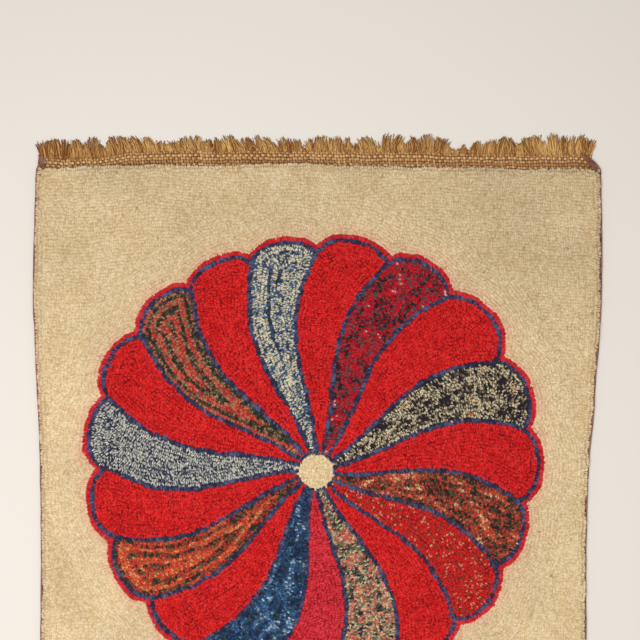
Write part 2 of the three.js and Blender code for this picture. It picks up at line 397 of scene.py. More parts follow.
def distance_to(spots, line):
    """Shortest distance from each spot to the points of a line, worked out a block of spots at a time."""
    found = []
    for block in np.array_split(spots, len(spots) // BLOCK + 1):
        squares = (block ** 2).sum(1)[:, None] + (line ** 2).sum(1)[None] - 2 * block @ line.T
        found.append(np.sqrt(np.maximum(squares.min(1), 0)))
    return np.concatenate(found)


def plan_of(loops):
    """The loops' plan points, one a row."""
    return np.stack([loops["x"], loops["y"]], 1)


# Rosette lines: angles run clockwise from +Y

SEAMS = FIRST_SEAM + np.radians(np.concatenate([[0], np.cumsum([petal[1] for petal in PETALS])]))
REACHES = np.array([petal[2] for petal in PETALS])
NOTCHES = (REACHES + np.roll(REACHES, 1)) / 2 - [petal[3] for petal in PETALS]
NOTCHES = np.append(NOTCHES, NOTCHES[0])


def on_rosette(angle, radius):
    """The plan point at an angle clockwise from +Y and a radius from the rosette's middle."""
    return ROSETTE + np.stack([radius * np.sin(angle), radius * np.cos(angle)], -1)


def rosette_place(spots):
    """Each spot's angle from the first seam on and its radius, about the rosette's middle."""
    away = spots - ROSETTE
    angle = FIRST_SEAM + (np.arctan2(away[:, 0], away[:, 1]) - FIRST_SEAM) % (2 * np.pi)
    return angle, np.hypot(away[:, 0], away[:, 1])


def seam_angle(k, radius):
    """A seam's angle at a radius: its notch's angle less half a sine wave that bows it to the left."""
    along = np.clip((radius - MIDDLE_RADIUS) / (NOTCHES[k] - MIDDLE_RADIUS), 0, 1)
    return SEAMS[k] - SEAM_BOW * np.sin(np.pi * along)


def lobe_radius(k, angle):
    """A lobe's radius at an angle: from notch to notch in a straight blend, plus a round hump up to the
    petal's reach."""
    along = np.clip((angle - SEAMS[k]) / (SEAMS[k + 1] - SEAMS[k]), 0, 1)
    base = NOTCHES[k] * (1 - along) + NOTCHES[k + 1] * along
    return base + (REACHES[k] - base) * (4 * along * (1 - along)) ** LOBE_ROUNDNESS


def outside_rosette(spots):
    """True for spots beyond the lobe at their angle."""
    angle, radius = rosette_place(spots)
    petal = np.clip(np.searchsorted(SEAMS, angle, side="right") - 1, 0, len(PETALS) - 1)
    return radius > lobe_radius(petal, angle)


def seam_line(k):
    """A seam from the middle to its notch, by even steps of radius."""
    radius = np.linspace(MIDDLE_RADIUS, NOTCHES[k], 300)
    return on_rosette(seam_angle(k, radius), radius)


def lobe_line(k):
    """A lobe from notch to notch, by angles that crowd towards both as a cosine does."""
    ease = (1 - np.cos(np.linspace(0, np.pi, 160))) / 2
    angle = SEAMS[k] + (SEAMS[k + 1] - SEAMS[k]) * ease
    return on_rosette(angle, lobe_radius(k, angle))


def hook_along(line, offset, yarn, lane):
    """A row of loops beside a line: the line is moved along its left-hand normal by the offset, and
    loops are set along it at even steps of arc length, each turned to the row's direction."""
    tangent = np.gradient(line, axis=0)
    tangent /= np.linalg.norm(tangent, axis=1, keepdims=True)
    moved = line + offset * np.stack([-tangent[:, 1], tangent[:, 0]], 1)
    arc = np.concatenate([[0], np.cumsum(np.linalg.norm(np.diff(moved, axis=0), axis=1))])
    at = np.arange(STEP / 2, arc[-1], STEP)
    loops = np.zeros(len(at), LOOP)
    loops["x"] = np.interp(at, arc, moved[:, 0])
    loops["y"] = np.interp(at, arc, moved[:, 1])
    direction = np.unwrap(np.arctan2(tangent[:, 1], tangent[:, 0]))
    loops["turn"] = np.interp(at, arc, direction)
    loops["lane"] = lane
    loops["run"] = at
    loops["yarn"] = YARN_NAMES.index(yarn)
    return loops


def hook_petal(k, seams, lobes):
    """A petal's loops in rows that echo its two seams and its lobe. A loop stays where it is inside the
    petal and its own line is the nearest, so the rows meet along the petal's spine."""
    yarn = PETALS[k][0]
    lines = [seams[k], seams[k + 1], lobes[k]]
    inward = [-1, 1, -1]
    petal = []
    for own in range(3):
        for row in np.arange(1, PETAL_ROWS + 1) + NAVY_ROOM:
            loops = hook_along(lines[own], inward[own] * row * ROW, yarn, LANES_PER_LINE * own + row)
            spots = plan_of(loops)
            keep = np.ones(len(loops), bool)
            for other in range(3):
                keep &= distance_to(spots, lines[other]) >= (row + HEAD_START[own][other]) * ROW
            angle, radius = rosette_place(spots)
            middle = (SEAMS[k] + SEAMS[k + 1]) / 2
            angle = middle + (angle - middle + np.pi) % (2 * np.pi) - np.pi
            keep &= (angle > seam_angle(k, radius)) & (angle < seam_angle(k + 1, radius))
            keep &= (radius > MIDDLE_RADIUS + 0.7 * ROW) & (radius < lobe_radius(k, angle))
            petal.append(loops[keep])
    return np.concatenate(petal)


def hook_rosette():
    """Every loop of the rosette: navy rows on the seams and lobes, a red row outside the lobes, the
    petals, and a cream middle of straight rows in a ring."""
    count = len(PETALS)
    seams = [seam_line(k) for k in range(count)]
    seams.append(seams[0])
    lobes = [lobe_line(k) for k in range(count)]
    rim = np.concatenate(lobes)
    parts = [hook_along(line, 0, "navy", k) for k, line in enumerate(lobes + seams[:count])]
    for k, line in enumerate(lobes):
        edge = hook_along(line, EDGE_OFFSET * ROW, "edge", k)
        spots = plan_of(edge)
        parts.append(edge[(distance_to(spots, rim) >= (EDGE_OFFSET - 0.15) * ROW) & outside_rosette(spots)])
    parts += [hook_petal(k, seams, lobes) for k in range(count)]
    turn = np.linspace(0, 2 * np.pi, 90)
    ring = on_rosette(turn, np.full_like(turn, MIDDLE_RADIUS - ROW / 2))
    parts.append(hook_along(ring, 0, "cream", 199))
    inner = MIDDLE_RADIUS - 1.3 * ROW
    for y in np.arange(-inner + ROW / 2, inner, ROW):
        across = np.sqrt(max(inner ** 2 - y ** 2, 0)) - 0.2
        line = ROSETTE + np.stack([np.linspace(-across, across, 40), np.full(40, y)], 1)
        parts.append(hook_along(line, 0, "cream", 200 + y))
    return np.concatenate(parts), rim


def hook_ground(rim):
    """The cream ground: two rows along the outline, rows that echo the rosette, and gently waving
    straight rows over the rest."""
    parts = []
    closed = np.concatenate([OUTLINE, OUTLINE[:1]])
    for row in (0.5, 1.5):
        loops = hook_along(closed, row * ROW, "cream", row)
        parts.append(loops[distance_to(plan_of(loops), OUTLINE) >= (row - ROW_SLACK) * ROW])
    for k in range(len(PETALS)):
        line = lobe_line(k)
        for row in np.arange(2, ECHO_ROWS + 1) + ECHO_ROOM:
            loops = hook_along(line, row * ROW, "cream", row)
            spots = plan_of(loops)
            keep = outside_rosette(spots) & (distance_to(spots, rim) >= (row - ROW_SLACK) * ROW)
            parts.append(loops[keep & inside_field(spots, EDGE_MARGIN)])
    reach = np.abs(OUTLINE).max(0)
    x = np.arange(-reach[0], reach[0], 2.0)
    for lane, y in enumerate(np.arange(-reach[1], reach[1], ROW)):
        wave = 3 * np.sin(0.02 * x + 0.013 * y + 1.3) + 1.6 * np.sin(0.047 * x - 0.01 * y)
        loops = hook_along(np.stack([x, y + wave], 1), 0, "cream", 100 + lane)
        spots = plan_of(loops)
        keep = outside_rosette(spots) & (distance_to(spots, rim) >= (ECHO_ROWS + ECHO_ROOM + 0.8) * ROW)
        parts.append(loops[keep & inside_field(spots, EDGE_MARGIN)])
    return np.concatenate(parts)


def wander(loops):
    """Loops moved off their ruled rows by smooth noise over the plan, coarse and fine, as a hand moves."""
    moved = loops.copy()
    for amount, length in WANDER:
        u, v = loops["x"] / length, loops["y"] / length
        moved["x"] += amount * (2 * soft_noise(u, v, 71 + length) - 1)
        moved["y"] += amount * (2 * soft_noise(u, v, 72 + length) - 1)
    sway = 2 * soft_noise(loops["x"] / TURN_LENGTH, loops["y"] / TURN_LENGTH, 73) - 1
    moved["turn"] += TURN_WANDER * sway * of_yarn(loops, "unruly", 1.0)
    return moved


def inside_field(spots, margin):
    """True for spots inside the field's outline and at least a margin from it."""
    x, y = spots.T
    inside = (x > edge_at(y, 0, -1)) & (x < edge_at(y, 0, 1))
    inside &= (y > edge_at(x, 1, -1)) & (y < edge_at(x, 1, 1))
    return inside & (distance_to(spots, OUTLINE) >= margin)


def neighbours(spots, loops):
    """For each spot, the loops in the nine square bins around it and their distances. Loops are
    ranked within their bin and dropped into a table of bins by rank; empty places are -1."""
    low = plan_of(loops).min(0) - 2 * BIN
    cells = np.ceil((plan_of(loops).max(0) - low) / BIN).astype(int) + 3
    place = ((plan_of(loops) - low) / BIN).astype(int)
    number = place[:, 0] * cells[1] + place[:, 1]
    order = np.argsort(number, kind="stable")
    ranked = number[order]
    rank = np.arange(len(order)) - np.searchsorted(ranked, ranked)
    fits = rank < BIN_ROOM
    table = np.full((cells[0] * cells[1], BIN_ROOM), -1)
    table[ranked[fits], rank[fits]] = order[fits]
    around = np.array([i * cells[1] + j for i in (-1, 0, 1) for j in (-1, 0, 1)])
    spot_place = np.clip(((spots - low) / BIN).astype(int), 1, cells - 2)
    centre = spot_place[:, 0] * cells[1] + spot_place[:, 1]
    near = table[centre[:, None] + around].reshape(len(spots), -1)
    apart = np.hypot(loops["x"][near] - spots[:, :1], loops["y"][near] - spots[:, 1:])
    return near, np.where(near < 0, np.inf, apart)


def drop_crowded(loops, least):
    """Loops without those that lie too near to one that was hooked before them."""
    near, apart = neighbours(plan_of(loops), loops)
    earlier = near < np.arange(len(loops))[:, None]
    return loops[~((apart < least) & earlier & (near >= 0)).any(1)]


def fill_bare(loops, most):
    """Loops with new ones in the bare spots: lattice points that lie too far from every loop copy
    the nearest one there. The lattice is taken in four passes so that new loops keep apart."""
    axes = [np.arange(-reach, reach, 2 * FILL_PITCH) for reach in np.abs(OUTLINE).max(0)]
    grid = np.stack(np.meshgrid(*axes, indexing="ij"), -1).reshape(-1, 2)
    for shift in ((0, 0), (FILL_PITCH, FILL_PITCH), (FILL_PITCH, 0), (0, FILL_PITCH)):
        spots = grid + shift
        spots = spots[inside_field(spots, 1.2)]
        near, apart = neighbours(spots, loops)
        best = apart.argmin(1)
        rows = np.arange(len(spots))
        bare = apart[rows, best] > most
        bare &= np.isfinite(apart[rows, best])
        added = loops[near[rows, best]][bare].copy()
        added["x"], added["y"] = spots[bare].T
        loops = np.concatenate([loops, added])
    return loops


def yarn_patches(loops, yarn, seed):
    """How far along its yarn's mix each loop lies, from about 0 to 1: smooth noise along and across the
    rows, or a wavering sine across them for bands, blended with clumps over the plan and pulled on
    stripes."""
    patch = soft_noise(loops["run"] / yarn["run"], loops["lane"] / yarn["lanes"], seed)
    if "bands" in yarn:
        waver = yarn.get("waver", USUAL_WAVER) * patch
        lane = loops["lane"] % LANES_PER_LINE
        patch = 0.5 + 0.5 * np.sin(2 * np.pi * lane / yarn["bands"] + waver)
    if "clumps" in yarn:
        size, weight = yarn["clumps"]
        clump = 0.5 + CLUMP_GAIN * (soft_noise(loops["x"] / size, loops["y"] / size, seed + 20) - 0.5)
        patch = patch + weight * (clump - patch)
    for lane, pull in yarn.get("stripes", {}).items():
        patch = patch + pull * (loops["lane"] == lane) / yarn["patchy"]
    return patch


def age_and_shade_cream(colours, loops, rim):
    """The cream's colours, changed in place: pink that fades from the rosette as an exponential, in streaks,
    stains that rise straight towards the hems, soft blotches, painted shade that darkens towards the far end
    and most at its right, and specks."""
    cream = loops["yarn"] == YARN_NAMES.index("cream")
    spots = plan_of(loops)[cream]
    x, y = spots.T
    angle, radius = rosette_place(spots)
    out = distance_to(spots, rim) - 2 * ROW
    streak = 0.35 + 0.9 * soft_noise(angle * 60, out / 20, 5)
    bleed = HALO_STRENGTH * np.exp(-np.maximum(out, 0) / HALO_REACH) * streak
    bleed = np.clip(bleed * (radius > MIDDLE_RADIUS + ROW), 0, 1)
    # The pink's third colour, for the creases, is darkened as painted shade
    pink = np.array([1, 1, DEEP_SHADE])[:, None] * linear(HALO_PINK)
    colours[cream] += bleed[:, None, None] * (pink - colours[cream])
    left, right = edge_at(y, 0, -1), edge_at(y, 0, 1)
    past_hem = np.abs(x) - np.abs(right + left) / 2 - (right - left) / 2 + HEM_REACH
    stain = HEM_STRENGTH * np.clip(past_hem / HEM_FADE, 0, 1) * soft_noise(y / 5, x / 5, 6)
    colours[cream] += stain[:, None, None] * (linear(HEM_STAIN) - colours[cream])
    blotch = soft_noise(x / BLOTCH, y / BLOTCH, 3)
    # Painted shade: the cream darkens towards the far end, most on its right, on top of the soft blotches
    far = np.clip((y - FAR_SHADE_START) / FAR_SHADE_LENGTH, 0, 1)
    blotch_and_far_shade = 0.91 + 0.1 * blotch - far * (0.1 + 0.06 * np.clip(x / 200, 0, 1))
    blotch_and_far_shade = np.where(radius > MIDDLE_RADIUS, blotch_and_far_shade, 1.0)
    speck = np.where(rng.random(len(spots)) < SPECK_SHARE, SPECK_SHADE, 1.0)
    colours[cream] *= (blotch_and_far_shade * speck)[:, None, None]


def yarn_colours(loops, rim):
    """Colours for each loop's two ends and the painted shade for its creases, in linear light. In each yarn,
    loop ends are ranked by their patches mixed with chance, and the rank picks the colour by its share.
    Every loop then gets a brightness of its own."""
    colours = np.zeros((len(loops), 3, 3))
    for index, yarn in enumerate(YARNS.values()):
        mine = np.flatnonzero(loops["yarn"] == index)
        patch = yarn_patches(loops[mine], yarn, index)
        score = yarn["patchy"] * patch[:, None] + (1 - yarn["patchy"]) * rng.random((len(mine), 2))
        rank = np.argsort(np.argsort(score.ravel())).reshape(-1, 2) / (2 * len(mine))
        shares = np.cumsum([share for share, _ in yarn["mix"]])
        palette = linear([colour for _, colour in yarn["mix"]])
        ends = palette[np.clip(np.searchsorted(shares, rank), 0, len(shares) - 1)]
        colours[mine, :2] = ends
        # The third colour is the painted shade for the loop's creases: the yarn's own shade colour, or its
        # ends darkened
        colours[mine, 2] = linear(yarn["shade_colour"]) if "shade_colour" in yarn else DEEP_SHADE * ends.mean(1)
    age_and_shade_cream(colours, loops, rim)
    return colours * (0.94 + 0.12 * rng.random((len(loops), 1, 1)))


def of_yarn(loops, key, usual):
    """A yarn setting looked up for every loop."""
    return np.array([YARNS[yarn].get(key, usual) for yarn in YARN_NAMES])[loops["yarn"]]


def pile_piece(name, loops, colours, material, feet=False):
    """Loops as one piece: the loop's shape, sized, turned across its row and set in place for all loops
    at once. The pile is a little uneven and droops at the field's edge."""
    count = len(loops)
    spots = plan_of(loops)
    shape = np.concatenate([LOOP_SHAPE, LOOP_SHAPE[:4]]) if feet else LOOP_SHAPE
    droop = DROOP * np.clip(1 - distance_to(spots, OUTLINE) / DROOP_REACH, 0, 1) ** 1.3
    swell = SWELL * (soft_noise(spots[:, 0] / SWELL_LENGTH, spots[:, 1] / SWELL_LENGTH, 11) - 0.5)
    top = PILE_TOP - PILE_JITTER - droop + swell + PILE_JITTER * (2 * rng.random(count) - 1)
    z = top[:, None] - LOOP_RISE * (1 - shape[None, :, 2])
    z[:, len(LOOP_SHAPE):] = BACKING_TOP
    unruly = of_yarn(loops, "unruly", 1.0)
    size = 1 + SIZE_CHANCE * (2 * rng.random((count, 2)) - 1) * unruly[:, None]
    size[:, 0] *= of_yarn(loops, "length", 1.0)
    across = shape[None, :, 0] * LOOP_HALF_LENGTH * size[:, :1]
    along = shape[None, :, 1] * LOOP_HALF_WIDTH * size[:, 1:]
    lean = loops["turn"] + np.pi / 2 + of_yarn(loops, "tilt", 0.0)
    lean = lean + LEAN_CHANCE * rng.standard_normal(count) * unruly
    cos, sin = np.cos(lean)[:, None], np.sin(lean)[:, None]
    shift = PLACE_CHANCE * rng.standard_normal((count, 2)) * unruly[:, None]
    x = (spots[:, 0] + shift[:, 0])[:, None] + across * cos - along * sin
    y = (spots[:, 1] + shift[:, 1])[:, None] + across * sin + along * cos
    first = (np.arange(count) * len(shape))[:, None, None]
    polygons = [(LOOP_SIDES[None] + first).reshape(-1, 4), (LOOP_ENDS[None] + first).reshape(-1, 3)]
    if feet:
        polygons.append((LOOP_WALLS[None] + first).reshape(-1, 4))
    piece = add_mesh(name, np.stack([x, y, z], -1), polygons, material)
    end = (shape[:, 0] > 0).astype(int)
    # Painted shade: points below the ridge are blended towards the loop's shade colour by the yarn's crease
    # strength, and feet on the backing take it fully
    depth = of_yarn(loops, "crease_shade", CREASE_SHADE)[:, None, None] * (1 - shape[None, :, 2:])
    depth = np.where(z[..., None] <= BACKING_TOP, 1, depth)
    shades = colours[:, end] * (1 - depth) + colours[:, 2:] * depth
    add_colour(piece, "wool", shades.reshape(-1, 3), np.repeat(of_yarn(loops, "tweed", 0.0), len(shape)))
    twist = np.stack(np.broadcast_arrays(across, along, rng.random((count, 1)) * 9), -1)
    add_vector(piece, "twist", twist.reshape(-1, 3))
    add_plan_map(piece)
    return piece


def field_grid(inset, steps):
    """A grid of plan points stretched between the outline's four edges, moved in by an inset, with its
    corners drawn in to follow the outline's round ones."""
    reach = np.abs(OUTLINE).max(0) - CORNER
    u, v = np.meshgrid(np.linspace(0, 1, steps[0]), np.linspace(0, 1, steps[1]), indexing="ij")
    y = -reach[1] + 2 * reach[1] * v
    left, right = edge_at(y, 0, -1) + inset, edge_at(y, 0, 1) - inset
    x = left + (right - left) * u
    near, far = edge_at(x, 1, -1) + inset, edge_at(x, 1, 1) - inset
    y = near + (far - near) * v
    pull = (np.abs(2 * u - 1) * np.abs(2 * v - 1)) ** CORNER_SHARPNESS
    return np.stack([x, y], -1) * (1 - CORNER_PULL * pull[..., None])


def add_slab(name, top, bottom, material):
    """A thin closed piece between two grids of points, with walls round their rims."""
    points = np.stack([bottom, top])
    number = np.arange(points[..., 0].size).reshape(points.shape[:3])
    corners = [np.stack([n[:-1, :-1], n[1:, :-1], n[1:, 1:], n[:-1, 1:]], -1) for n in number]
    faces = [group.reshape(-1, 4) for group in corners]
    faces[0] = faces[0][:, ::-1]
    rim = [np.concatenate([n[:, 0], n[-1, 1:], n[-2::-1, -1], n[0, -2:0:-1]]) for n in number]
    walls = np.stack([rim[0], np.roll(rim[0], -1), np.roll(rim[1], -1), rim[1]], -1)
    return add_mesh(name, points, [*faces, walls], material)


def at_height(plan, height):
    """Plan points lifted to a height."""
    return np.concatenate([plan, np.broadcast_to(height, plan.shape[:2])[..., None]], -1)


def pile_bed(loops, colours, material):
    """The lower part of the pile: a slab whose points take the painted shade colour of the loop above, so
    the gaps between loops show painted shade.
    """
    plan = field_grid(BED_INSET, (120, 138))
    piece = add_slab("loops_bed", at_height(plan, BED_HEIGHT), at_height(plan, BACKING_TOP), material)
    spots = plan.reshape(-1, 2)
    near, apart = neighbours(spots, loops)
    nearest = near[np.arange(len(spots)), apart.argmin(1)]
    # Painted shade: the shade colour of the nearest loop
    add_colour(piece, "wool", np.tile(colours[nearest, 2], (2, 1)), 0.0)
    add_vector(piece, "twist", np.zeros((2 * len(spots), 3)))
    add_plan_map(piece)
    return piece


def carry(name, paths, profile, scale, material):
    """A closed profile carried along many paths at once. paths is (threads, stations, 3), profile is
    (corners, 2) as sideways and up, and scale is (threads, stations, 2). Sideways is level and square to
    the path, and up is square to both. Both ends are closed."""
    tangent = np.gradient(paths, axis=1)
    tangent /= np.linalg.norm(tangent, axis=2, keepdims=True)
    side = np.stack([tangent[..., 1], -tangent[..., 0], np.zeros(tangent.shape[:2])], -1)
    side /= np.linalg.norm(side, axis=2, keepdims=True)
    up = np.cross(side, tangent)
    wide = (profile[None, None, :, 0] * scale[..., :1])[..., None]
    high = (profile[None, None, :, 1] * scale[..., 1:])[..., None]
    points = paths[:, :, None] + wide * side[:, :, None] + high * up[:, :, None]
    threads, stations, corners = points.shape[:3]
    number = np.arange(threads * stations * corners).reshape(threads, stations, corners)
    beside = np.roll(number, -1, axis=2)
    walls = np.stack([number[:, :-1], number[:, 1:], beside[:, 1:], beside[:, :-1]], -1).reshape(-1, 4)
    caps = np.concatenate([number[:, 0], number[:, -1, ::-1]])
    return add_mesh(name, points, [walls, caps], material), points


def round_profile(corners):
    """A circle's points, counter-clockwise from sideways."""
    angle = np.arange(corners) / corners * 2 * np.pi
    return np.stack([np.cos(angle), np.sin(angle)], 1)


def thread_colours(points, palette, tone, shade):
    """A colour for each point of carried threads: each thread's tone sets its place between two colours,
    and a painted shade from 0 to 1 takes hidden points down to a dark brown."""
    tone = np.clip(tone, 0, 1)[:, None, None, None]
    low, high = linear(palette[0]), linear(palette[1])
    own = np.broadcast_to(low + (high - low) * tone, points.shape)
    shade_colour = linear(STRAW_SHADE)
    return (shade_colour + (own - shade_colour) * shade[..., None]).reshape(-1, 3)


def turn_end(points, end):
    """Points of the far end, or turned half round for the near end."""
    return points * np.array([end, end, 1.0])


def end_frame(end):
    """The strip at one end, in the far end's sense: its left and right limits, and its pile edge's y
    as a function of x."""
    probe = end * np.abs(OUTLINE[:, 1]).max() * 0.97
    sides = sorted(end * edge_at(probe, 0, side) for side in (-1, 1))

    def pile_edge(x):
        """The field's edge at x, as a distance from the rug's middle."""
        return np.abs(edge_at(end * x, 1, end))

    return sides[0] + STRIP_INSET, sides[1] - STRIP_INSET, pile_edge


def fray(column, x, left, right):
    """A column of the fray table read at x, by straight blends between its rows."""
    return np.interp((x - left) / (right - left), FRAY["across"], FRAY[column])


def fray_line(x, left, right):
    """Where the cross threads stop at x: the usual line, moved by the fray table and a little noise."""
    return FRAY_LINE + fray("line", x, left, right) + 1.2 * (soft_noise(x / 8, 0 * x, 57) - 0.5)


def woven_threads(name, end, plan, over, half_width, size, tone, material):
    """Threads of a plain weave, from plan paths in the far end's sense: they rise and swell with over, which
    runs from -1 under a crossing thread to 1 on top of one, and points that dip under get painted shade."""
    size = size * (1 + BULGE * over)
    scale = np.stack([half_width * size, THREAD_HALF_HEIGHT * np.ones_like(size)], -1)
    paths = turn_end(np.stack([*plan, WEAVE_HEIGHT + CRIMP * over], -1), end)
    piece, points = carry(name, paths, round_profile(6), scale, material)
    # Painted shade on the threads' low points
    shade = np.clip((points[..., 2] - DIP_SHADE_HEIGHT) / DIP_SHADE_RANGE, 0, 1)
    add_colour(piece, "straw", thread_colours(points, STRAW, tone, shade))
    return piece


def woven_strip(end, material):
    """Bare hessian at one end as real threads. In a plain weave each thread rides over one and under the
    next: a cosine along it with a period of two pitches, in opposite phase in neighbouring threads."""
    label = "far" if end > 0 else "near"
    left, right, pile_edge = end_frame(end)
    warp_x = np.arange(left + WARP_PITCH / 2, right, WARP_PITCH)
    warps = len(warp_x)
    column = np.arange(warps)[:, None]
    start = pile_edge(warp_x)[:, None] - UNDER_PILE
    stop = fray_line(warp_x, left, right)[:, None]
    y = start + (stop + 1.0 - start) * np.linspace(0, 1, WARP_STATIONS)[None]
    sway = 0.7 * (soft_noise(y / 9, column * 3.7, 21) - 0.5)
    x = warp_x[:, None] + sway + SLANT * (FRAY_LINE - y)
    over = np.cos(np.pi * (y - stop) / WEFT_PITCH + np.pi * column)
    size = 1 + 0.1 * rng.standard_normal((warps, 1))
    tone = 0.22 + 0.2 * rng.standard_normal(warps)
    warp = woven_threads(f"hessian_warp_{label}", end, (x, y), over, WARP_HALF_WIDTH, size, tone, material)

    row = np.arange(WEFTS)[:, None]
    x = np.tile(np.linspace(left, right, 3 * warps + 1), (WEFTS, 1))
    sway = 1.2 * (soft_noise(x / 40, row * 5.3, 31) - 0.5)
    y = fray_line(x, left, right) - row * WEFT_PITCH + sway
    over = -np.cos(np.pi * (x - warp_x[0] - SLANT * row * WEFT_PITCH) / WARP_PITCH + np.pi * row)
    size = 1 + 0.2 * (soft_noise(x / 13, row * 9.1, 41) - 0.5)
    tone = 0.62 + 0.15 * rng.standard_normal(WEFTS)
    weft = woven_threads(f"hessian_weft_{label}", end, (x, y), over, WEFT_HALF_WIDTH, size, tone, material)
    return [warp, weft]


def fringe(end, material):
    """Drawn threads at one end. Strands leave the fray line, lean and bend by the fray table and by smooth
    noise along the end, draw together by tufts that are longest in their middles, fall short by a bell
    curve at each gap, and taper to their tips. Every fourth is a short stray. Painted shade darkens their
    roots and the strands that lie low."""
    label = "far" if end > 0 else "near"
    left, right, _ = end_frame(end)
    roots = np.arange(left - 0.4 * CORNER, right, WARP_PITCH / 2)
    root_x = np.repeat(roots, STRANDS_PER_ROOT)
    count = len(root_x)
    root_x = root_x + 0.6 * rng.standard_normal(count)
    still = np.zeros(count)
    drift = soft_noise(root_x / 15, still, 51) - 0.5
    lump = soft_noise(root_x / 6, still, 52)
    tuft = (root_x + 12 * soft_noise(root_x / 25, still, 55)) / TUFT
    off_middle = tuft % 1 - 0.5
    gather = -GATHER * TUFT * off_middle * lattice(np.floor(tuft), still, 56)
    stray = np.arange(count) % 4 == 0
    from_gap = ((root_x - left) / (right - left))[:, None] - GAPS["across"]
    gap = (GAPS["depth"] * np.exp(-(from_gap / GAP_WIDTH) ** 2)).sum(1)
    reach = (fray("reach", root_x, left, right) - gap) * np.clip(0.8 + 0.45 * lump, 0.75, 1.15)
    reach = reach * (1.06 - 0.8 * off_middle ** 2)
    reach = reach * (0.76 + 0.3 * rng.random(count)) * np.where(stray, 0.6, 1.0)
    lean = fray("lean", root_x, left, right) + 0.9 * drift
    lean = lean + np.where(stray, 0.45, 0.12) * rng.standard_normal(count)
    bend = -0.8 * drift + 0.5 * (soft_noise(root_x / 9, still, 53) - 0.5)
    share = np.linspace(0, 1, STRAND_STATIONS)[None]
    curl = 0.35 * rng.standard_normal((count, 1)) * np.sin(np.pi * share * (1 + rng.random((count, 1))))
    x = root_x[:, None] + reach[:, None] * (lean[:, None] * share + bend[:, None] * share ** 2) + curl
    x = x + gather[:, None] * share ** 1.3
    root_y = fray_line(root_x, left, right)[:, None] - 1.5 - 2.5 * rng.random((count, 1))
    y = root_y + (FRAY_LINE + reach[:, None] - root_y) * share
    rise = 1.7 * rng.random((count, 1)) ** 2
    z = 1.1 + 0.8 * rng.random((count, 1)) - 0.65 * share + rise * np.sin(np.pi * 0.85 * share)
    pale = fray("pale", root_x, left, right)
    thick = (0.44 + 0.44 * rng.random((count, 1)) ** 2) * (1 + 0.6 * pale[:, None]) * (1 - 0.5 * share)
    scale = np.stack([1.3 * thick, 0.8 * thick], -1)
    z = np.maximum(z, thick + 0.02)
    paths = turn_end(np.stack([x, y, z], -1), end)
    piece, points = carry(f"fringe_{label}", paths, round_profile(3), scale, material)
    # Painted shade: darker at the roots and on strands that lie low
    shade = np.broadcast_to((0.6 + 0.4 * np.clip(share / 0.4, 0, 1))[..., None], points.shape[:3])
    shade = shade * (0.72 + 0.28 * np.clip(z[..., None], 0, 1.6) / 1.6)
    tone = 0.42 + pale
    tone = tone + 0.8 * (soft_noise(root_x / 4, still, 54) - 0.5) + 0.26 * rng.standard_normal(count)
    add_colour(piece, "straw", thread_colours(points, FRINGE_STRAW, tone, shade))
    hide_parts(f"frayed_end_{label}")
    return [piece]


def backing_cloth(material):
    """The hessian under the loops, a little inside the field's outline."""
    plan = field_grid(BACKING_INSET, (61, 67))
    top, bottom = at_height(plan, BACKING_TOP), at_height(plan, 0.0)
    piece = add_slab("backing_hessian", top, bottom, material)
    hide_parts("hooked_field")
    return piece


def tape_roll(side, label, limit, material):
    """Tape rolled over one long side: a circle squared off by a power of its sine and cosine, carried along
    the field's edge with a little wander and an uneven width."""
    y = np.linspace(-limit - TAPE_PAST_END, limit + TAPE_PAST_END, 330)
    sway = 0.5 * (soft_noise(y / 14, 0 * y + side, 61) - 0.5)
    x = edge_at(np.clip(y, -limit, limit), 0, side) + side * (TAPE_GAP + TAPE_HALF_WIDTH + sway)
    half_height = np.full_like(y, TAPE_HEIGHT / 2)
    width = TAPE_HALF_WIDTH * (1 + 0.3 * (soft_noise(y / 9, 0 * y + side, 62) - 0.5))
    scale = np.stack([width, half_height], -1)[None]
    circle = round_profile(10)
    squared = np.sign(circle) * np.abs(circle) ** 0.6
    paths = np.stack([x, y, half_height], -1)[None]
    roll, _ = carry(f"tape_{label}", paths, squared, scale, material)
    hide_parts(f"binding_{label}")
    return roll


def tape_end(side, end, label, limit, material):
    """The tape's crumpled end at one corner: a grid that runs inward and outward from the corner with ragged
    rims and a lean, lifted in folds where smooth noise leaves its middle value."""
    u, v = np.meshgrid(*(np.linspace(0, 1, steps) for steps in TAPE_END_STEPS), indexing="ij")
    corner_x = edge_at(end * limit, 0, side)
    corner_y = np.abs(edge_at(corner_x - side * CORNER, 1, end))
    ragged = 3.4 * (soft_noise(4 * v, 3 * u + end + side, 81) - 0.5)
    outward = -6.5 + 20.0 * v + 3.4 * (soft_noise(4 * u, 2 * v + end + side, 82) - 0.5)
    lean = 0.45 + 0.35 * side * end
    inward = -1.8 + 10.5 * u * (1 - 0.35 * v) + lean * np.maximum(outward, 0) + ragged
    folds = soft_noise(4.4 * u + 2.0 * v, 4.4 * v - 1.6 * u, 83 + side + 2 * end)
    height = 1.2 + 4.2 * np.abs(2 * folds - 1) ** 0.8 * np.sin(np.pi * (0.08 + 0.84 * u)) ** 0.5
    plan = np.stack([corner_x - side * inward, end * (corner_y + outward)], -1)
    top = at_height(plan, height)
    bottom = at_height(plan, np.maximum(height - TAPE_THICKNESS, 0.05))
    if side * end < 0:
        top, bottom = top[::-1], bottom[::-1]
    name = f"tape_end_{label}_{'far' if end > 0 else 'near'}"
    return add_slab(name, top, bottom, material)


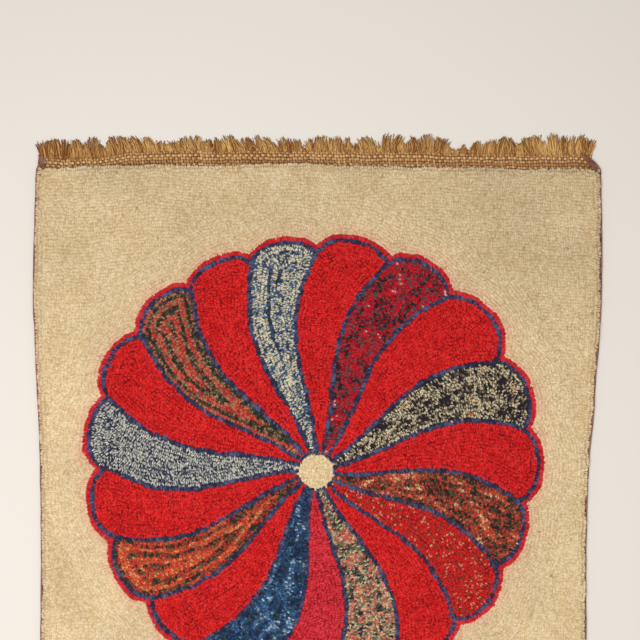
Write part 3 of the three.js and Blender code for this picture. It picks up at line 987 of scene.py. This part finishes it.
def tape_stitches(side, label, limit, thread):
    """Slanted stitches over one tape: short paths from the pile out over it, humped by half a sine wave."""
    spots = np.arange(-limit, limit, STITCH_PITCH)
    spots = spots + 0.8 * rng.standard_normal(len(spots))
    share = np.linspace(0, 1, 7)[None]
    x = edge_at(spots, 0, side)[:, None] + side * (-0.6 + 3.0 * share)
    y = spots[:, None] + 2.2 * share
    z = np.broadcast_to(3.1 + 0.45 * np.sin(np.pi * share) - 1.2 * share ** 4, x.shape)
    scale = np.full((*x.shape, 2), STITCH_RADIUS)
    paths = np.stack([x, y, z], -1)
    stitches, _ = carry(f"stitches_{label}", paths, round_profile(4), scale, thread)
    return stitches


def side_binding(side, material, thread):
    """The tape on one long side, its end at each corner and its stitches."""
    label = "left" if side < 0 else "right"
    limit = np.abs(OUTLINE[:, 1]).max() - CORNER
    roll = tape_roll(side, label, limit, material)
    ends = [tape_end(side, end, label, limit, material) for end in (-1, 1)]
    return [roll, *ends, tape_stitches(side, label, limit, thread)]


def new_material(name):
    """An empty node material, a function that adds a node, and one that sets the shader's inputs. A socket
    is linked to its input, and anything else is set on it."""
    material = bpy.data.materials.new(name)
    material.use_nodes = True
    tree = material.node_tree

    def set_inputs(node, inputs):
        """Links or sets a node's inputs."""
        for key, value in inputs.items():
            if isinstance(value, bpy.types.NodeSocket):
                tree.links.new(value, node.inputs[key])
            else:
                node.inputs[key].default_value = value

    def add(kind, inputs=None, **settings):
        """A new node with its settings and inputs."""
        node = tree.nodes.new(kind)
        for key, value in settings.items():
            setattr(node, key, value)
        set_inputs(node, inputs or {})
        return node

    def shade(inputs):
        """Links or sets the shader's inputs."""
        set_inputs(tree.nodes["Principled BSDF"], inputs)

    return material, add, shade


def wool_material():
    """Soft wool: each loop's own colour with its painted crease shade, broken up by fibre noise and faint
    plied stripes, with sheen. The colour's fourth value blends in the coarser light and dark of tweed."""
    material, add, shade = new_material("wool_loops")
    place = add("ShaderNodeTexCoord").outputs["Object"]
    wool = add("ShaderNodeAttribute", attribute_name="wool")
    twist = add("ShaderNodeAttribute", attribute_name="twist").outputs["Vector"]
    fibre = add("ShaderNodeTexNoise", {"Vector": place, "Scale": 1400.0, "Detail": 3.0, "Roughness": 0.7})
    fleck = add("ShaderNodeTexNoise", {"Vector": place, "Scale": 720.0, "Detail": 2.0, "Roughness": 0.6})
    ply = add("ShaderNodeTexWave", {"Vector": twist, "Scale": 0.55, "Distortion": 1.5, "Detail": 1.0},
              bands_direction="DIAGONAL")
    plain = add("ShaderNodeMapRange", {"Value": fibre.outputs["Fac"], "From Min": 0.3, "From Max": 0.7,
                                       "To Min": 0.82, "To Max": 1.12}).outputs["Result"]
    tweed = add("ShaderNodeMapRange", {"Value": fleck.outputs["Fac"], "From Min": 0.36, "From Max": 0.64,
                                       "To Min": 0.45, "To Max": 1.4}).outputs["Result"]
    more = add("ShaderNodeMath", {0: tweed, 1: plain}, operation="SUBTRACT")
    tone = add("ShaderNodeMath", {0: more.outputs["Value"], 1: wool.outputs["Alpha"], 2: plain},
               operation="MULTIPLY_ADD")
    tinted = add("ShaderNodeVectorMath", {0: wool.outputs["Color"], 1: tone.outputs["Value"]},
                 operation="MULTIPLY")
    height = add("ShaderNodeMath", {0: ply.outputs["Fac"], 1: fibre.outputs["Fac"]}, operation="ADD")
    bump = add("ShaderNodeBump", {"Strength": 0.35, "Distance": 0.0004, "Height": height.outputs["Value"]})
    shade({"Base Color": tinted.outputs["Vector"], "Normal": bump.outputs["Normal"], "Roughness": 0.92,
           "Specular IOR Level": 0.15, "Sheen Weight": 0.12, "Sheen Roughness": 0.5})
    return material


def straw_material():
    """Jute thread: each thread's own straw colour with darker and paler fibres, and slanting stripes for
    the twist of the spun thread, which bump it and paint shade in its grooves."""
    material, add, shade = new_material("jute_thread")
    place = add("ShaderNodeTexCoord").outputs["Object"]
    colour = add("ShaderNodeAttribute", attribute_name="straw").outputs["Color"]
    fibre = add("ShaderNodeTexNoise", {"Vector": place, "Scale": 1100.0, "Detail": 4.0, "Roughness": 0.7})
    spun = add("ShaderNodeTexWave", {"Vector": place, "Scale": 300.0, "Distortion": 2.0, "Detail": 1.0},
               bands_direction="DIAGONAL")
    tone = add("ShaderNodeMapRange", {"Value": fibre.outputs["Fac"], "From Min": 0.3, "From Max": 0.7,
                                      "To Min": 0.68, "To Max": 1.15}).outputs["Result"]
    # The twist's stripes darken the colour as painted shade in its grooves
    stripe = add("ShaderNodeMapRange", {"Value": spun.outputs["Fac"], "To Min": 0.74, "To Max": 1.1})
    both = add("ShaderNodeMath", {0: tone, 1: stripe.outputs["Result"]}, operation="MULTIPLY")
    tinted = add("ShaderNodeVectorMath", {0: colour, 1: both.outputs["Value"]}, operation="MULTIPLY")
    height = add("ShaderNodeMath", {0: spun.outputs["Fac"], 1: fibre.outputs["Fac"]}, operation="ADD")
    bump = add("ShaderNodeBump", {"Strength": 0.5, "Distance": 0.0003, "Height": height.outputs["Value"]})
    shade({"Base Color": tinted.outputs["Vector"], "Normal": bump.outputs["Normal"], "Roughness": 0.8,
           "Specular IOR Level": 0.3})
    return material


def cloth_material(name, dark, light, pitch, roughness):
    """Plain woven cloth: crossing sine waves along X and Y set the bump and paint its raised cells lighter
    and its sunken ones darker as shade, and noise fades the colour.
    """
    material, add, shade = new_material(name)
    place = add("ShaderNodeTexCoord").outputs["Object"]
    split = add("ShaderNodeSeparateXYZ", {"Vector": place})
    turns = 2 * np.pi / (2 * pitch * MM)
    waves = []
    for axis in ("X", "Y"):
        angle = add("ShaderNodeMath", {0: split.outputs[axis], 1: turns}, operation="MULTIPLY")
        waves.append(add("ShaderNodeMath", {0: angle.outputs["Value"]}, operation="SINE").outputs["Value"])
    weave = add("ShaderNodeMath", {0: waves[0], 1: waves[1]}, operation="MULTIPLY").outputs["Value"]
    fade = add("ShaderNodeTexNoise", {"Vector": place, "Scale": 160.0, "Detail": 4.0, "Roughness": 0.65})
    # The weave's height also lightens raised cells and darkens sunken ones: painted shade
    blend = add("ShaderNodeMath", {0: weave, 1: 0.18, 2: fade.outputs["Fac"]}, operation="MULTIPLY_ADD")
    ramp = add("ShaderNodeValToRGB", {"Fac": blend.outputs["Value"]})
    for stop, position, colour in zip(ramp.color_ramp.elements, (0.25, 0.75), (dark, light)):
        stop.position = position
        stop.color = (*linear(colour), 1)
    bump = add("ShaderNodeBump", {"Strength": 0.6, "Distance": 0.0004, "Height": weave})
    shade({"Base Color": ramp.outputs["Color"], "Normal": bump.outputs["Normal"], "Roughness": roughness,
           "Specular IOR Level": 0.2})
    return material


def floor_material():
    """A plain pale matt floor."""
    material, _, shade = new_material("pale_floor")
    shade({"Base Color": (*linear(FLOOR_COLOUR), 1), "Roughness": 0.9})
    return material


def make_stage():
    """The floor, the sky, the soft lights, each turned to the aim, and the camera, which is as high above
    the pile as makes the photograph's width fill its sensor."""
    mesh = bpy.data.meshes.new("floor")
    corners = [(-1, -1), (1, -1), (1, 1), (-1, 1)]
    mesh.from_pydata([(x * FLOOR_HALF, y * FLOOR_HALF, 0) for x, y in corners], [], [(0, 1, 2, 3)])
    mesh.materials.append(floor_material())
    place_object("floor", mesh)

    world = bpy.data.worlds.new("studio")
    world.use_nodes = True
    sky = world.node_tree.nodes["Background"]
    sky.inputs["Color"].default_value = SKY_COLOUR
    sky.inputs["Strength"].default_value = SKY_STRENGTH
    bpy.context.scene.world = world
    for name, (place, size, power) in LIGHTS.items():
        data = bpy.data.lights.new(name, "AREA")
        data.size = size
        data.energy = power
        light = place_object(name, data)
        light.location = place
        light.rotation_euler = Vector(LIGHT_AIM - place).to_track_quat("-Z", "Y").to_euler()

    data = bpy.data.cameras.new("camera")
    data.lens = LENS
    data.sensor_width = SENSOR
    camera = place_object("camera", data)
    view = (np.array([PHOTO_WIDTH / 2] * 2) - ORIGIN_PIXEL) * [1, -1] * MM_PER_PIXEL
    height = PHOTO_WIDTH * MM_PER_PIXEL * LENS / SENSOR + PILE_TOP
    camera.location = (view[0] * MM, view[1] * MM, height * MM)
    bpy.context.scene.camera = camera
    bpy.context.scene.view_settings.view_transform = "Standard"


def make_rug():
    """Every piece of the rug, with the backing that carries the rest."""
    wool = wool_material()
    straw = straw_material()
    hessian = cloth_material("backing_hessian", (120, 84, 44), (196, 156, 100), 2.9, 0.9)
    tape = cloth_material("binding_tape", (82, 48, 38), (178, 130, 114), 0.7, 0.9)
    thread = cloth_material("sewing_thread", (150, 104, 84), (214, 178, 150), 0.5, 0.8)

    rosette, rim = hook_rosette()
    ground = hook_ground(rim)
    loops = drop_crowded(np.concatenate([rosette, ground]), LEAST_APART)
    loops = fill_bare(loops, MOST_APART)
    colours = yarn_colours(loops, rim)
    names = np.array(YARN_NAMES)[loops["yarn"]]
    plain = np.isin(names, ("red", "rose", "flecked"))
    cream = names == "cream"
    navy = np.isin(names, ("navy", "edge"))
    edge = distance_to(plan_of(loops), OUTLINE) < 2 * ROW
    cream &= ~edge
    left, far = loops["x"] < 0, loops["y"] >= 0
    groups = {
        "loops_red_petals": plain,
        "loops_mixed_petals": ~(plain | cream | navy | edge),
        "loops_outlines": navy,
        "loops_cream_far_left": cream & left & far,
        "loops_cream_far_right": cream & ~left & far,
        "loops_cream_near_left": cream & left & ~far,
        "loops_cream_near_right": cream & ~left & ~far,
    }
    loops = wander(loops)
    pieces = [pile_piece(name, loops[mine], colours[mine], wool) for name, mine in groups.items()]
    pieces.append(pile_piece("loops_cream_edge", loops[edge], colours[edge], wool, feet=True))
    pieces.append(pile_bed(loops, colours, wool))
    for end in (1, -1):
        pieces += woven_strip(end, straw) + fringe(end, straw)
    for side in (-1, 1):
        pieces += side_binding(side, tape, thread)
    backing = backing_cloth(hessian)


make_stage()
make_rug()
bpy.context.view_layer.update()
